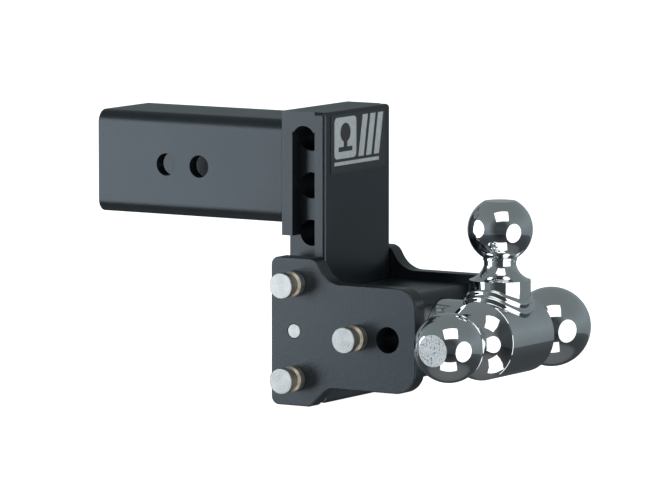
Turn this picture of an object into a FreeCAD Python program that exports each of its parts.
"""Adjustable ball mount for a 3 inch receiver, with three tow balls on one hub.

Frame: the origin is the centre of the outer hitch pin hole. +X runs from the open end of
the shank to the balls, +Z is up, and the near side is -Y. All sizes are in millimetres.
"""

import FreeCAD
import Part
import Sketcher
import math
import os

ALONG_X = FreeCAD.Rotation(FreeCAD.Vector(0, 1, 0), 90)
ALONG_Y = FreeCAD.Rotation(FreeCAD.Vector(1, 0, 0), -90)
ALONG_Z = FreeCAD.Rotation()
UP = FreeCAD.Vector(0, 0, 1)

# Driving dimensions: alias, value, what it is.
DIMENSIONS = [
    ("shank_side", 76.2, "outside width and height of the square shank"),
    ("shank_wall", 9.5, "wall of the shank tube"),
    ("shank_corner", 9.4, "outside corner radius of the shank tube"),
    ("shank_inner_corner", 3.1, "inside corner radius of the shank tube"),
    ("shank_tail", 60.0, "outer hitch pin hole to the open end"),
    ("shank_reach", 106.3, "outer hitch pin hole to the back plate"),
    ("hitch_hole_gap", 29.0, "between the two hitch pin holes"),
    ("hitch_hole_radius", 8.35, "hitch pin holes, for a 5/8 inch pin"),
    ("shank_weld_leg", 5.0, "fillet weld around the shank"),
    ("shank_weld_toe", 0.3, "weld's thickness where it thins out on the tube"),
    ("column_width", 91.4, "across the back and front plates"),
    ("column_top", 45.7, "top of the column above the shank's centre line"),
    ("column_bottom", -167.5, "bottom of the column"),
    ("plate_thickness", 8.95, "back and front plates of the column"),
    ("plate_corner", 3.0, "corners of the front plate, seen from the front"),
    ("plate_rounding", 2.4, "rounding around the front plate's face"),
    ("groove_width", 19.3, "guide groove between the back and front plates"),
    ("core_width", 69.0, "across the column's core, between the guide grooves"),
    ("top_hole_height", 25.8, "highest lock hole above the shank's centre line"),
    ("hole_pitch", 34.925, "between lock holes, 1 3/8 inch"),
    ("core_rebate", 3.0, "core let into the back and front plates"),
    ("lock_hole_radius", 9.65, "lock holes in the core and cheeks"),
    ("ball_hole_radius", 9.65, "ball pin holes in the cheeks, block and stem"),
    ("groove_end_drop", 5.0, "groove end blocks start this far above the top hole"),
    ("decal_thickness", 0.4, "front decal"),
    ("decal_width", 76.0, "front decal"),
    ("decal_height", 43.0, "front decal"),
    ("decal_centre", 21.6, "front decal's centre height"),
    ("cheek_gap", 92.6, "between the inner faces of the cheeks"),
    ("cheek_thickness", 12.7, "cheek plates, 1/2 inch"),
    ("cheek_rear", 105.4, "rear edge of the cheeks"),
    ("cheek_front", 228.5, "front edge of the cheeks"),
    ("lobe_top", -60.0, "top of the cheeks' rear lobe"),
    ("lobe_bottom", -168.8, "bottom of the cheeks' rear lobe"),
    ("nose_top", -77.5, "top of the cheeks' front part"),
    ("nose_bottom", -154.2, "bottom of the cheeks' front part"),
    ("lobe_top_end", 143.2, "front end of the lobe's top edge"),
    ("nose_top_start", 153.3, "rear end of the nose's top edge"),
    ("lobe_bottom_end", 138.5, "front end of the lobe's bottom edge"),
    ("nose_bottom_start", 153.5, "rear end of the nose's bottom edge"),
    ("lobe_corner", 6.0, "cheek corners at the rear edge"),
    ("lobe_top_corner", 9.0, "cheek corner at the front of the lobe's top edge"),
    ("lobe_bottom_corner", 3.0, "cheek corner at the front of the lobe's bottom edge"),
    ("nose_top_hollow", 20.0, "hollow corner where the nose's top edge starts"),
    ("nose_bottom_hollow", 14.0, "hollow corner where the nose's bottom edge starts"),
    ("nose_top_corner", 15.0, "cheek corner at the upper front"),
    ("nose_bottom_corner", 17.0, "cheek corner at the lower front"),
    ("cheek_edge_break", 0.8, "rounding of the cheeks' outer rims"),
    ("hub_height", -115.4, "hub, stem and ball pin height"),
    ("ball_pin_reach", 178.3, "ball lock pin from the origin"),
    ("spare_hole_reach", 204.9, "spare pin hole from the origin"),
    ("block_front", 217.0, "front face of the receiver block"),
    ("block_clearance", 1.5, "front plate to the receiver block"),
    ("block_half_height", 31.4, "receiver block above and below the hub height"),
    ("block_rounding", 10.0, "rounding of the block's front edges"),
    ("block_weld_leg", 3.5, "fillet welds between the block's underside and the cheeks"),
    ("stem_radius", 25.4, "stem of the three-ball head, 2 inch"),
    ("stem_clearance", 0.3, "stem to its bore in the block"),
    ("stem_inner_end", 148.0, "hidden end of the stem"),
    ("stem_chamfer", 3.0, "lead-in on the hidden end of the stem"),
    ("lock_pin_radius", 9.525, "column lock pins, 3/4 inch"),
    ("ball_pin_radius", 9.525, "ball lock pin, 3/4 inch"),
    ("pin_near_end", 77.5, "near tips of the lock pins from the mid plane"),
    ("pin_groove_depth", 1.6, "groove near each pin's tip"),
    ("pin_groove_start", 5.0, "groove from the pin's tip"),
    ("pin_groove_width", 8.0, "groove near each pin's tip"),
    ("pin_head_radius", 15.0, "fixed head on the far side"),
    ("pin_head_length", 7.0, "fixed head on the far side"),
    ("pin_head_clearance", 0.3, "cheek to the pin's head"),
    ("pin_chamfer", 0.45, "edge break on pin ends and heads"),
    ("guide_pin_radius", 5.55, "guide pins pressed into the cheeks, 7/16 inch"),
    ("guide_pin_recess", 0.1, "guide pin's end below the cheek's face"),
    ("guide_pin_reach", 36.5, "guide pin's inner end from the mid plane"),
    ("guide_pin_chamfer", 0.6, "edge break on the guide pins"),
    ("press_clearance", 0.02, "radial allowance in the model for pressed parts"),
    ("hub_reach", 264.5, "hub's axis from the origin"),
    ("hub_radius", 28.575, "three-ball hub, 2 1/4 inch"),
    ("hub_half_length", 29.6, "hub on each side of the mid plane"),
    ("hub_edge_break", 0.3, "rim of the hub"),
    ("spigot_radius", 15.0, "spigots of the side balls inside the hub"),
    ("spigot_length", 24.0, "spigots of the side balls inside the hub"),
    ("flange_radius", 28.3, "foot of the side balls on the hub's ends"),
    ("flange_lip", 0.4, "straight rim of the side balls' feet"),
    ("flange_hollow", 1.8, "depth of the hollow flare between a side ball's neck and foot"),
    ("side_neck_straight", 8.6, "straight neck under each side ball"),
    ("side_neck_radius", 14.6, "necks of the side balls"),
    ("ball_flat_radius", 11.6, "flat ends of the balls"),
    ("medium_ball_radius", 25.4, "2 inch ball, near side"),
    ("medium_ball_reach", 72.3, "2 inch ball's centre from the mid plane"),
    ("large_ball_radius", 29.37, "2 5/16 inch ball, far side"),
    ("large_ball_reach", 74.8, "2 5/16 inch ball's centre from the mid plane"),
    ("small_ball_radius", 23.8125, "1 7/8 inch ball, on top"),
    ("small_ball_rise", 78.7, "1 7/8 inch ball's centre above the hub's axis"),
    ("collar_radius", 22.4, "collar under the top ball"),
    ("collar_top_drop", 36.5, "collar's upper edge below the ball's centre"),
    ("collar_height", 9.0, "straight side of the collar"),
    ("collar_hollow", 2.0, "depth of the hollow flare above the collar"),
    ("ring_radius", 12.4, "ring directly under the top ball"),
    ("ring_height", 1.9, "ring directly under the top ball"),
    ("top_neck_radius", 11.8, "neck of the top ball"),
    ("top_neck_straight", 3.0, "straight neck under the ring"),
    ("collar_undercut", 0.3, "foot under the collar, inside its radius"),
    ("collar_blend", 6.0, "blend between the collar's foot and the hub"),
]

HOLE_COUNT = 6
TOUCH = 0.01  # lengths closer than this are the same
SAME_WAY = 0.999  # cosine above which two directions are the same

doc = FreeCAD.newDocument("ball_mount")
sheet = doc.addObject("Spreadsheet::Sheet", "dims")


def fill_sheet():
    for row, (alias, value, meaning) in enumerate(DIMENSIONS, start=1):
        sheet.set(f"A{row}", str(value))
        sheet.setAlias(f"A{row}", alias)
        sheet.set(f"B{row}", meaning)
    doc.recompute()


def size(alias):
    """The value of one cell, for the shapes that are made with Part's own functions."""
    return float(getattr(sheet, alias))


def bound(text):
    """An expression in which each alias is read from the sheet."""
    for alias, _, _ in sorted(DIMENSIONS, key=lambda entry: -len(entry[0])):
        text = text.replace(f"<{alias}>", f"dims.{alias}")
    return text


# Places that several pieces share, as expressions.
PLATE_FRONT = "(<shank_reach> + <plate_thickness>)"
GROOVE_FRONT = "(<shank_reach> + <plate_thickness> + <groove_width>)"
COLUMN_FRONT = "(<shank_reach> + 2 * <plate_thickness> + <groove_width>)"
HOLE_X = "(<shank_reach> + <plate_thickness> + <groove_width> / 2)"
CHEEK_OUTER = "(<cheek_gap> / 2 + <cheek_thickness>)"


def hole_height(number):
    """The height of lock hole number 0 to 5, counted from the top."""
    return f"(<top_hole_height> - {number} * <hole_pitch>)"


def place(thing, at):
    for letter, text in zip("xyz", at):
        thing.setExpression(f"Placement.Base.{letter}", bound(text))


def box(name, low, high):
    """A box between two corners given as expressions."""
    thing = doc.addObject("Part::Box", name)
    for side, start, stop in zip(("Length", "Width", "Height"), low, high):
        thing.setExpression(side, bound(f"({stop}) - ({start})"))
    place(thing, low)
    return thing


def cylinder(name, rotation, radius, length, at):
    thing = doc.addObject("Part::Cylinder", name)
    thing.setExpression("Radius", bound(radius))
    thing.setExpression("Height", bound(length))
    thing.Placement = FreeCAD.Placement(FreeCAD.Vector(), rotation)
    place(thing, at)
    return thing


def cut(label, base, tools):
    """The base without its tools, as the sub-part with this label."""
    tool = tools[0]
    if len(tools) > 1:
        tool = doc.addObject("Part::MultiFuse", f"{label}_tools")
        tool.Shapes = tools
    result = doc.addObject("Part::Cut", label)
    result.Base = base
    result.Tool = tool
    result.Label = label
    return result


def edges_where(shape, wanted):
    """Numbers of the edges that pass a test."""
    return [number for number, edge in enumerate(shape.Edges, start=1) if wanted(edge)]


def long_edges(shape, direction, length):
    """Numbers of the straight edges of this length that run along a direction."""
    found = []
    for number, edge in enumerate(shape.Edges, start=1):
        straight = isinstance(edge.Curve, Part.Line)
        if straight and abs(edge.Length - length) < TOUCH:
            if abs(edge.tangentAt(edge.FirstParameter).dot(direction)) > SAME_WAY:
                found.append(number)
    return found


def rounded(label, base, numbers, radius):
    result = doc.addObject("Part::Fillet", label)
    result.Base = base
    result.Edges = [(number, radius, radius) for number in numbers]
    result.Label = label
    return result


def across(name, radius, x, z, half_span):
    """A cylinder along Y through the mid plane."""
    return cylinder(name, ALONG_Y, radius, f"2 * ({half_span})", (x, f"-({half_span})", z))


def body_sketch(body, role, name):
    sketch = body.newObject("Sketcher::SketchObject", name)
    plane = next(f for f in body.Origin.OriginFeatures if f.Role == role)
    sketch.AttachmentSupport = [(plane, "")]
    sketch.MapMode = "FlatFace"
    return sketch


def bind_point(sketch, line, end, place_name, x, y):
    """Holds one end of a line at a place given by two expressions."""
    for letter, kind, text in (("x", "DistanceX", x), ("y", "DistanceY", y)):
        point = sketch.Geometry[line].StartPoint
        here = point.x if letter == "x" else point.y
        sketch.addConstraint(Sketcher.Constraint(kind, -1, 1, line, end, here))
        number = sketch.ConstraintCount - 1
        name = f"{place_name}_{letter}"
        sketch.renameConstraint(number, name)
        sketch.setExpression(f"Constraints.{name}", bound(text))


def polygon(sketch, corners, start):
    """A closed polygon in a sketch, with each corner bound to its expressions."""
    count = len(corners)
    for number in range(count):
        one, two = start[number], start[(number + 1) % count]
        line = Part.LineSegment(FreeCAD.Vector(*one, 0), FreeCAD.Vector(*two, 0))
        sketch.addGeometry(line, False)
    for number in range(count):
        after = (number + 1) % count
        sketch.addConstraint(Sketcher.Constraint("Coincident", number, 2, after, 1))
    for number, (x, y) in enumerate(corners):
        bind_point(sketch, number, 1, f"corner_{number}", x, y)


def evaluate(text):
    """The number that an expression of the sheet's aliases stands for."""
    probe = doc.addObject("App::FeaturePython", "probe")
    probe.addProperty("App::PropertyFloat", "Value")
    probe.setExpression("Value", bound(text))
    doc.recompute()
    value = probe.Value
    doc.removeObject(probe.Name)
    return value


def make_shank_tube():
    body = doc.addObject("PartDesign::Body", "shank_tube")
    sketch = body_sketch(body, "YZ_Plane", "shank_section")
    half = size("shank_side") / 2
    inner = half - size("shank_wall")
    for name, reach, text in (
        ("outer", half, "<shank_side> / 2"),
        ("inner", inner, "<shank_side> / 2 - <shank_wall>"),
    ):
        first = len(sketch.Geometry)
        square = [(-reach, -reach), (reach, -reach), (reach, reach), (-reach, reach)]
        signs = [("-", "-"), ("", "-"), ("", ""), ("-", "")]
        for number in range(4):
            one, two = square[number], square[(number + 1) % 4]
            line = Part.LineSegment(FreeCAD.Vector(*one, 0), FreeCAD.Vector(*two, 0))
            sketch.addGeometry(line, False)
        for number in range(4):
            after = first + (number + 1) % 4
            sketch.addConstraint(Sketcher.Constraint("Coincident", first + number, 2, after, 1))
        for number, (across_sign, up_sign) in enumerate(signs):
            x, y = f"{across_sign}({text})", f"{up_sign}({text})"
            bind_point(sketch, first + number, 1, f"{name}_{number}", x, y)
    pad = body.newObject("PartDesign::Pad", "shank_length")
    pad.Profile = sketch
    pad.setExpression("Length", bound("<shank_tail> + <shank_reach>"))
    doc.recompute()
    length = size("shank_tail") + size("shank_reach")
    previous = pad
    for name, outer, text in (
        ("outer_corners", True, "<shank_corner>"),
        ("inner_corners", False, "<shank_inner_corner>"),
    ):
        edges = []
        for number in long_edges(previous.Shape, FreeCAD.Vector(1, 0, 0), length):
            far_out = abs(previous.Shape.Edges[number - 1].CenterOfMass.y) > half - TOUCH
            if far_out == outer:
                edges.append(f"Edge{number}")
        fillet = body.newObject("PartDesign::Fillet", name)
        fillet.Base = (previous, edges)
        fillet.setExpression("Radius", bound(text))
        doc.recompute()
        previous = fillet
    holes = body_sketch(body, "XZ_Plane", "hitch_holes")
    for number, (reach, text) in enumerate(
        ((0.0, "<shank_tail>"), (size("hitch_hole_gap"), "<shank_tail> + <hitch_hole_gap>"))
    ):
        centre = FreeCAD.Vector(size("shank_tail") + reach, 0, 0)
        circle = Part.Circle(centre, UP, size("hitch_hole_radius"))
        holes.addGeometry(circle, False)
        holes.addConstraint(Sketcher.Constraint("Radius", number, size("hitch_hole_radius")))
        radius_name = f"radius_{number}"
        holes.renameConstraint(holes.ConstraintCount - 1, radius_name)
        holes.setExpression(f"Constraints.{radius_name}", bound("<hitch_hole_radius>"))
        holes.addConstraint(Sketcher.Constraint("PointOnObject", number, 3, -1))
        holes.addConstraint(Sketcher.Constraint("DistanceX", -1, 1, number, 3, centre.x))
        place_name = f"reach_{number}"
        holes.renameConstraint(holes.ConstraintCount - 1, place_name)
        holes.setExpression(f"Constraints.{place_name}", bound(text))
    pocket = body.newObject("PartDesign::Pocket", "hitch_pin_holes")
    pocket.Profile = holes
    pocket.Type = "ThroughAll"
    pocket.Midplane = True
    place(body, ("-<shank_tail>", "0", "0"))
    return body


def square_wire(side, corner, x):
    """A rounded square across X."""
    half = side / 2
    flat = half - corner
    slant = corner * math.sqrt(0.5)
    edges = []
    for quarter in range(4):
        turn = FreeCAD.Rotation(FreeCAD.Vector(1, 0, 0), 90 * quarter)
        side_start = turn.multVec(FreeCAD.Vector(0, half, -flat))
        side_stop = turn.multVec(FreeCAD.Vector(0, half, flat))
        middle = turn.multVec(FreeCAD.Vector(0, flat + slant, flat + slant))
        corner_stop = turn.multVec(FreeCAD.Vector(0, flat, half))
        edges.append(Part.LineSegment(side_start, side_stop).toShape())
        edges.append(Part.Arc(side_stop, middle, corner_stop).toShape())
    wire = Part.Wire(edges)
    wire.translate(FreeCAD.Vector(x, 0, 0))
    return wire


def make_shank_weld():
    """The fillet bead around the shank: a tapered ring that fits the tube's outside."""
    leg, side, corner = size("shank_weld_leg"), size("shank_side"), size("shank_corner")
    reach = size("shank_reach")
    toe = size("shank_weld_toe")
    thin = square_wire(side + 2 * toe, corner + toe, reach - leg)
    wide = square_wire(side + 2 * leg, corner + leg, reach)
    ring = Part.makeLoft([thin, wide], True, True)
    tube = Part.Face(square_wire(side, corner, reach - 2 * leg))
    tube = tube.extrude(FreeCAD.Vector(4 * leg, 0, 0))
    weld = doc.addObject("Part::Feature", "shank_weld")
    weld.Shape = ring.cut(tube)
    return weld


def make_column():
    half = "<column_width> / 2"
    core_half = "<core_width> / 2"
    top, bottom = "<column_top>", "<column_bottom>"
    core_rear = f"({PLATE_FRONT} - <core_rebate>)"
    core_front = f"({GROOVE_FRONT} + <core_rebate>)"
    back_blank = box(
        "back_plate_blank",
        ("<shank_reach>", f"-{half}", "-<column_top>"),
        (PLATE_FRONT, half, top),
    )
    front = box(
        "front_plate_blank",
        (GROOVE_FRONT, f"-{half}", bottom),
        (COLUMN_FRONT, half, top),
    )
    rebates = [
        box(f"{name}_rebate", (core_rear, f"-{core_half}", bottom), (core_front, core_half, top))
        for name in ("back", "front")
    ]
    back = cut("back_plate", back_blank, [rebates[0]])
    upper = box(
        "core_upper",
        (core_rear, f"-{core_half}", bottom),
        (core_front, core_half, top),
    )
    lower = box(
        "core_lower",
        ("<shank_reach>", f"-{core_half}", bottom),
        (core_rear, core_half, "-<column_top>"),
    )
    blank = doc.addObject("Part::Fuse", "core_blank")
    blank.Base = upper
    blank.Tool = lower
    blank.Refine = True
    holes = [
        across(
            f"core_hole_{number}",
            "<lock_hole_radius>",
            HOLE_X,
            hole_height(number),
            "<core_width>",
        )
        for number in range(HOLE_COUNT)
    ]
    core = cut("column_core", blank, holes)
    doc.recompute()
    corners = long_edges(front.Shape, FreeCAD.Vector(1, 0, 0), size("plate_thickness"))
    face = rounded("front_plate_corners", front, corners, size("plate_corner"))
    doc.recompute()
    front_x = evaluate(COLUMN_FRONT)
    rim = edges_where(face.Shape, lambda edge: edge.BoundBox.XMin > front_x - TOUCH)
    face = rounded("front_plate_rounded", face, rim, size("plate_rounding"))
    face = cut("front_plate", face, [rebates[1]])
    ends = []
    for side, low, high in (
        ("near", f"-{half}", f"-{core_half}"),
        ("far", core_half, half),
    ):
        block = box(
            f"{side}_groove_block",
            (PLATE_FRONT, low, "<top_hole_height> + <groove_end_drop>"),
            (GROOVE_FRONT, high, top),
        )
        arch = across(
            f"{side}_groove_arch",
            "<groove_width> / 2",
            HOLE_X,
            "<top_hole_height>",
            "<column_width>",
        )
        ends.append(cut(f"{side}_groove_end", block, [arch]))
    decal = box(
        "front_decal",
        (COLUMN_FRONT, "-<decal_width> / 2", "<decal_centre> - <decal_height> / 2"),
        (
            f"{COLUMN_FRONT} + <decal_thickness>",
            "<decal_width> / 2",
            "<decal_centre> + <decal_height> / 2",
        ),
    )
    return [back, face, core, decal] + ends


def make_cheek(side, sign):
    """One cheek plate: a rear lobe for the column and a lower nose for the block."""
    corners = [
        ("<cheek_rear>", "<lobe_bottom>", "<lobe_corner>"),
        ("<lobe_bottom_end>", "<lobe_bottom>", "<lobe_bottom_corner>"),
        ("<nose_bottom_start>", "<nose_bottom>", "<nose_bottom_hollow>"),
        ("<cheek_front>", "<nose_bottom>", "<nose_bottom_corner>"),
        ("<cheek_front>", "<nose_top>", "<nose_top_corner>"),
        ("<nose_top_start>", "<nose_top>", "<nose_top_hollow>"),
        ("<lobe_top_end>", "<lobe_top>", "<lobe_top_corner>"),
        ("<cheek_rear>", "<lobe_top>", "<lobe_corner>"),
    ]
    body = doc.addObject("PartDesign::Body", f"{side}_cheek")
    sketch = body_sketch(body, "XZ_Plane", f"{side}_cheek_outline")
    start = [(evaluate(x), evaluate(z)) for x, z, _ in corners]
    polygon(sketch, [(x, z) for x, z, _ in corners], start)
    pad = body.newObject("PartDesign::Pad", f"{side}_cheek_plate")
    pad.Profile = sketch
    pad.setExpression("Length", bound("<cheek_thickness>"))
    doc.recompute()
    previous = pad
    for number, ((x, z), (_, _, radius)) in enumerate(zip(start, corners)):
        corner_edge = edges_where(
            previous.Shape,
            lambda edge: math.hypot(edge.CenterOfMass.x - x, edge.CenterOfMass.z - z) < TOUCH,
        )[0]
        fillet = body.newObject("PartDesign::Fillet", f"{side}_cheek_corner_{number}")
        fillet.Base = (previous, [f"Edge{corner_edge}"])
        fillet.setExpression("Radius", bound(radius))
        doc.recompute()
        previous = fillet
    outer_y = previous.Shape.BoundBox.YMin if sign < 0 else previous.Shape.BoundBox.YMax
    rim = [
        f"Edge{number}"
        for number, edge in enumerate(previous.Shape.Edges, start=1)
        if abs(edge.BoundBox.YMin - outer_y) < TOUCH and abs(edge.BoundBox.YMax - outer_y) < TOUCH
    ]
    soft = body.newObject("PartDesign::Fillet", f"{side}_cheek_rim")
    soft.Base = (previous, rim)
    soft.setExpression("Radius", bound("<cheek_edge_break>"))
    doc.recompute()
    holes = body_sketch(body, "XZ_Plane", f"{side}_cheek_hole_places")
    guide = "<guide_pin_radius> + <press_clearance>"
    rounds = [
        (HOLE_X, hole_height(3), "<lock_hole_radius>"),
        (HOLE_X, hole_height(4), guide),
        (HOLE_X, hole_height(5), "<lock_hole_radius>"),
        ("<ball_pin_reach>", "<hub_height>", "<ball_hole_radius>"),
        ("<spare_hole_reach>", "<hub_height>", "<ball_hole_radius>"),
    ]
    for number, (x, z, radius) in enumerate(rounds):
        centre = FreeCAD.Vector(evaluate(x), evaluate(z), 0)
        holes.addGeometry(Part.Circle(centre, UP, evaluate(radius)), False)
        for kind, name, here, text in (
            ("Radius", "radius", evaluate(radius), radius),
            ("DistanceX", "across", centre.x, x),
            ("DistanceY", "up", centre.y, z),
        ):
            if kind == "Radius":
                holes.addConstraint(Sketcher.Constraint(kind, number, here))
            else:
                holes.addConstraint(Sketcher.Constraint(kind, -1, 1, number, 3, here))
            label = f"{name}_{number}"
            holes.renameConstraint(holes.ConstraintCount - 1, label)
            holes.setExpression(f"Constraints.{label}", bound(text))
    pocket = body.newObject("PartDesign::Pocket", f"{side}_cheek_holes")
    pocket.Profile = holes
    pocket.Type = "ThroughAll"
    pocket.Midplane = True
    doc.recompute()
    shift = -pad.Shape.BoundBox.YMax if sign < 0 else -pad.Shape.BoundBox.YMin
    inner = "<cheek_gap> / 2"
    place(body, ("0", f"{sign} * {inner} + {shift}", "0"))
    return body


def make_guide_pin(side, sign):
    length = f"({CHEEK_OUTER} - <guide_pin_recess> - <guide_pin_reach>)"
    start = "<guide_pin_reach>" if sign > 0 else f"-(<guide_pin_reach> + {length})"
    at = (HOLE_X, start, hole_height(4))
    blank = cylinder(f"{side}_guide_pin_blank", ALONG_Y, "<guide_pin_radius>", length, at)
    result = doc.addObject("Part::Chamfer", f"{side}_guide_pin")
    result.Base = blank
    result.Label = f"{side}_guide_pin"
    doc.recompute()
    rims = edges_where(blank.Shape, lambda edge: isinstance(edge.Curve, Part.Circle))
    edge = size("guide_pin_chamfer")
    result.Edges = [(number, edge, edge) for number in rims]
    return result


def make_block():
    """The receiver block between the cheeks, bored along X for the stem."""
    half = "<cheek_gap> / 2"
    rear = f"({COLUMN_FRONT} + <block_clearance>)"
    low = "(<hub_height> - <block_half_height>)"
    high = "(<hub_height> + <block_half_height>)"
    blank = box("block_blank", (rear, f"-{half}", low), ("<block_front>", half, high))
    doc.recompute()
    edges = long_edges(blank.Shape, FreeCAD.Vector(0, 1, 0), size("cheek_gap"))
    front = size("block_front")
    noses = [
        number for number in edges if blank.Shape.Edges[number - 1].CenterOfMass.x > front - TOUCH
    ]
    soft = rounded("block_rounded", blank, noses, size("block_rounding"))
    bore = cylinder(
        "block_bore",
        ALONG_X,
        "<stem_radius> + <stem_clearance>",
        "<block_front> - <shank_reach>",
        (rear, "0", "<hub_height>"),
    )
    pin = across("block_pin_hole", "<ball_hole_radius>", "<ball_pin_reach>", "<hub_height>", half)
    spare = across(
        "block_spare_hole", "<ball_hole_radius>", "<spare_hole_reach>", "<hub_height>", half
    )
    block = cut("receiver_block", soft, [bore, pin, spare])
    leg = size("block_weld_leg")
    start_x = evaluate(rear) + leg
    stop_x = size("block_front") - size("block_rounding") - leg
    under = evaluate(low)
    welds = []
    for side, sign in (("near", -1), ("far", 1)):
        wall = sign * size("cheek_gap") / 2
        foot = FreeCAD.Vector(start_x, wall - sign * leg, under)
        drop = FreeCAD.Vector(start_x, wall, under - leg)
        root = FreeCAD.Vector(start_x, wall, under)
        face = Part.Face(Part.makePolygon([root, foot, drop, root]))
        weld = doc.addObject("Part::Feature", f"{side}_block_weld")
        weld.Shape = face.extrude(FreeCAD.Vector(stop_x - start_x, 0, 0))
        welds.append(weld)
    return [block] + welds


def spun(points, placement):
    """A turned shape. A point of two numbers ends a line, one of four ends an arc."""
    edges = []
    last = points[0]
    for point in points[1:] + [points[0]]:
        end = point[-2:]
        start = FreeCAD.Vector(last[-2], 0, last[-1])
        stop = FreeCAD.Vector(end[0], 0, end[1])
        if len(point) == 4:
            middle = FreeCAD.Vector(point[0], 0, point[1])
            edges.append(Part.Arc(start, middle, stop).toShape())
        else:
            edges.append(Part.LineSegment(start, stop).toShape())
        last = point
    face = Part.Face(Part.Wire(edges))
    shape = face.revolve(FreeCAD.Vector(), UP, 360)
    shape.Placement = placement
    return shape


def turned(label, points, placement):
    thing = doc.addObject("Part::Feature", label)
    thing.Shape = spun(points, placement)
    return thing


def ball_top(radius, centre, neck):
    """The outline of a ball from its neck up to its flat end."""
    flat = size("ball_flat_radius")
    rise = math.sqrt(radius**2 - flat**2)
    foot = math.sqrt(radius**2 - neck**2)
    return [
        (neck, centre - foot),
        (radius, centre, flat, centre + rise),
        (0, centre + rise),
    ]


def hollow(wide, narrow, depth):
    """The middle point of a hollow flare that lies this deep inside a straight cone."""
    run, climb = narrow[0] - wide[0], narrow[1] - wide[1]
    span = math.hypot(run, climb)
    middle_r = (wide[0] + narrow[0]) / 2 - depth * climb / span
    middle_z = (wide[1] + narrow[1]) / 2 + depth * run / span
    return (middle_r, middle_z)


def make_side_ball(label, sign, radius, reach):
    """A side ball with its flared foot and the spigot that is welded into the hub."""
    hub_end = size("hub_half_length")
    centre = reach - hub_end
    neck = size("side_neck_radius")
    spigot, depth = size("spigot_radius"), size("spigot_length")
    neck_low = centre - math.sqrt(radius**2 - neck**2) - size("side_neck_straight")
    rim = (size("flange_radius"), size("flange_lip"))
    outline = [
        (0, -depth),
        (spigot, -depth),
        (spigot, 0),
        (rim[0], 0),
        rim,
        (*hollow(rim, (neck, neck_low), size("flange_hollow")), neck, neck_low),
    ] + ball_top(radius, centre, neck)
    turn = FreeCAD.Rotation(FreeCAD.Vector(1, 0, 0), -90 * sign)
    base = FreeCAD.Vector(size("hub_reach"), sign * hub_end, size("hub_height"))
    return turned(label, outline, FreeCAD.Placement(base, turn))


def make_top_ball(hub_solid, stem_shape):
    """The top ball: its collar runs down into the hub with a rounded blend."""
    reach, height = size("hub_reach"), size("hub_height")
    ring, neck, collar = size("ring_radius"), size("top_neck_radius"), size("collar_radius")
    radius, rise = size("small_ball_radius"), size("small_ball_rise")
    collar_top = rise - size("collar_top_drop")
    collar_low = collar_top - size("collar_height")
    ring_low = rise - math.sqrt(radius**2 - ring**2) - size("ring_height")
    neck_high = ring_low - (ring - neck)
    neck_low = neck_high - size("top_neck_straight")
    under = collar - size("collar_undercut")
    foot_outline = [(0, 0), (under, 0), (under, collar_top), (0, collar_top)]
    placement = FreeCAD.Placement(FreeCAD.Vector(reach, 0, height), ALONG_Z)
    foot = spun(foot_outline, placement).fuse(hub_solid).removeSplitter()
    seam = [
        edge
        for edge in foot.Edges
        if height < edge.BoundBox.ZMin
        and edge.BoundBox.ZMax < height + size("hub_radius") + TOUCH
        and edge.BoundBox.YLength < 2 * size("hub_half_length") - TOUCH
    ]
    foot = foot.makeFillet(size("collar_blend"), seam)
    rim = (collar, collar_top)
    ball_outline = [
        (0, collar_low),
        (collar, collar_low),
        rim,
        (*hollow(rim, (neck, neck_low), size("collar_hollow")), neck, neck_low),
        (neck, neck_high),
        (ring, ring_low),
    ] + ball_top(radius, rise, ring)
    ball = doc.addObject("Part::Feature", "small_ball")
    whole = spun(ball_outline, placement).fuse(foot)
    ball.Shape = whole.cut(hub_solid.fuse(stem_shape)).removeSplitter()
    return ball


def make_head():
    """The three-ball head: hub, stem and three balls, all chromed steel."""
    reach, height = size("hub_reach"), size("hub_height")
    half = size("hub_half_length")
    hub_solid = Part.makeCylinder(
        size("hub_radius"),
        2 * half,
        FreeCAD.Vector(reach, -half, height),
        FreeCAD.Vector(0, 1, 0),
    )
    blank = across("hub_blank", "<hub_radius>", "<hub_reach>", "<hub_height>", "<hub_half_length>")
    soft = doc.addObject("Part::Chamfer", "hub_rims")
    soft.Base = blank
    doc.recompute()
    rims = edges_where(blank.Shape, lambda edge: isinstance(edge.Curve, Part.Circle))
    rim_break = size("hub_edge_break")
    soft.Edges = [(number, rim_break, rim_break) for number in rims]
    bore = across(
        "hub_bore",
        "<spigot_radius> + <press_clearance>",
        "<hub_reach>",
        "<hub_height>",
        "2 * <hub_half_length>",
    )
    hub = cut("triball_hub", soft, [bore])

    stem_end = size("stem_inner_end")
    chamfer = size("stem_chamfer")
    stem_radius = size("stem_radius")
    stem_length = reach - stem_end
    stem_outline = [
        (0, 0),
        (stem_radius - chamfer, 0),
        (stem_radius, chamfer),
        (stem_radius, stem_length),
        (0, stem_length),
    ]
    holes = []
    for direction in (FreeCAD.Vector(0, 1, 0), UP):
        middle = FreeCAD.Vector(size("ball_pin_reach"), 0, height)
        start = middle - direction * 2 * stem_radius
        hole = Part.makeCylinder(size("ball_hole_radius"), 4 * stem_radius, start, direction)
        holes.append(hole)
    stem_place = FreeCAD.Placement(FreeCAD.Vector(stem_end, 0, height), ALONG_X)
    stem = doc.addObject("Part::Feature", "triball_stem")
    stem.Shape = spun(stem_outline, stem_place).cut(hub_solid.fuse(holes))
    small = make_top_ball(hub_solid, stem.Shape)
    medium = make_side_ball("medium_ball", -1, size("medium_ball_radius"), size("medium_ball_reach"))
    large = make_side_ball("large_ball", 1, size("large_ball_radius"), size("large_ball_reach"))
    return [hub, stem, small, medium, large]


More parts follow.
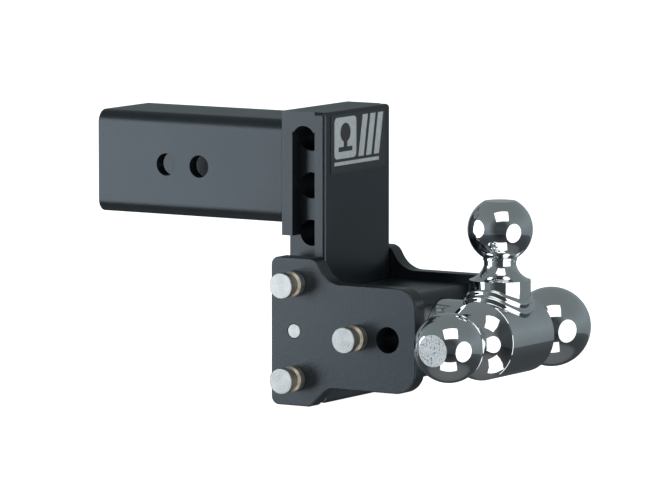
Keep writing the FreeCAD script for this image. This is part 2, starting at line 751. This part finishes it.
def make_lock_pin(label, radius, x, z):
    """A headed pin along Y, with a groove for a lock near its near end."""
    groove = radius - size("pin_groove_depth")
    tip = size("pin_near_end")
    start, width = size("pin_groove_start"), size("pin_groove_width")
    head_at = tip + evaluate(CHEEK_OUTER) + size("pin_head_clearance")
    head, thick = size("pin_head_radius"), size("pin_head_length")
    edge = size("pin_chamfer")
    slope = radius - groove
    outline = [
        (0, 0),
        (radius - edge, 0),
        (radius, edge),
        (radius, start),
        (groove, start + slope),
        (groove, start + width - slope),
        (radius, start + width),
        (radius, head_at),
        (head - edge, head_at),
        (head, head_at + edge),
        (head, head_at + thick - edge),
        (head - edge, head_at + thick),
        (0, head_at + thick),
    ]
    base = FreeCAD.Vector(evaluate(x), -tip, evaluate(z))
    return turned(label, outline, FreeCAD.Placement(base, ALONG_Y))


def write_parts(parts):
    doc.recompute()
    for thing in doc.Objects:
        if "Invalid" in thing.State or "Error" in thing.State:
            raise RuntimeError(f"{thing.Name} failed: {thing.State}")
    os.makedirs("parts", exist_ok=True)
    for part in parts:
        shape = part.Shape
        if shape.isNull() or not shape.isValid():
            raise RuntimeError(f"{part.Label} has no valid shape")
        shape.exportStep(f"parts/{part.Label}.step")
        box_now = shape.BoundBox
        print(
            f"{part.Label}: {len(shape.Solids)} solid, {shape.Volume / 1000:.1f} cm3, "
            f"X {box_now.XMin:.1f} {box_now.XMax:.1f}, Y {box_now.YMin:.1f} {box_now.YMax:.1f}, "
            f"Z {box_now.ZMin:.1f} {box_now.ZMax:.1f}"
        )


fill_sheet()
parts = [make_shank_tube(), make_shank_weld()]
parts += make_column()
parts += [make_cheek("near", -1), make_cheek("far", 1)]
parts += [make_guide_pin("near", -1), make_guide_pin("far", 1)]
parts += make_block()
parts += make_head()
parts += [
    make_lock_pin("upper_lock_pin", size("lock_pin_radius"), HOLE_X, hole_height(3)),
    make_lock_pin("lower_lock_pin", size("lock_pin_radius"), HOLE_X, hole_height(5)),
    make_lock_pin("ball_lock_pin", size("ball_pin_radius"), "<ball_pin_reach>", "<hub_height>"),
]
write_parts(parts)
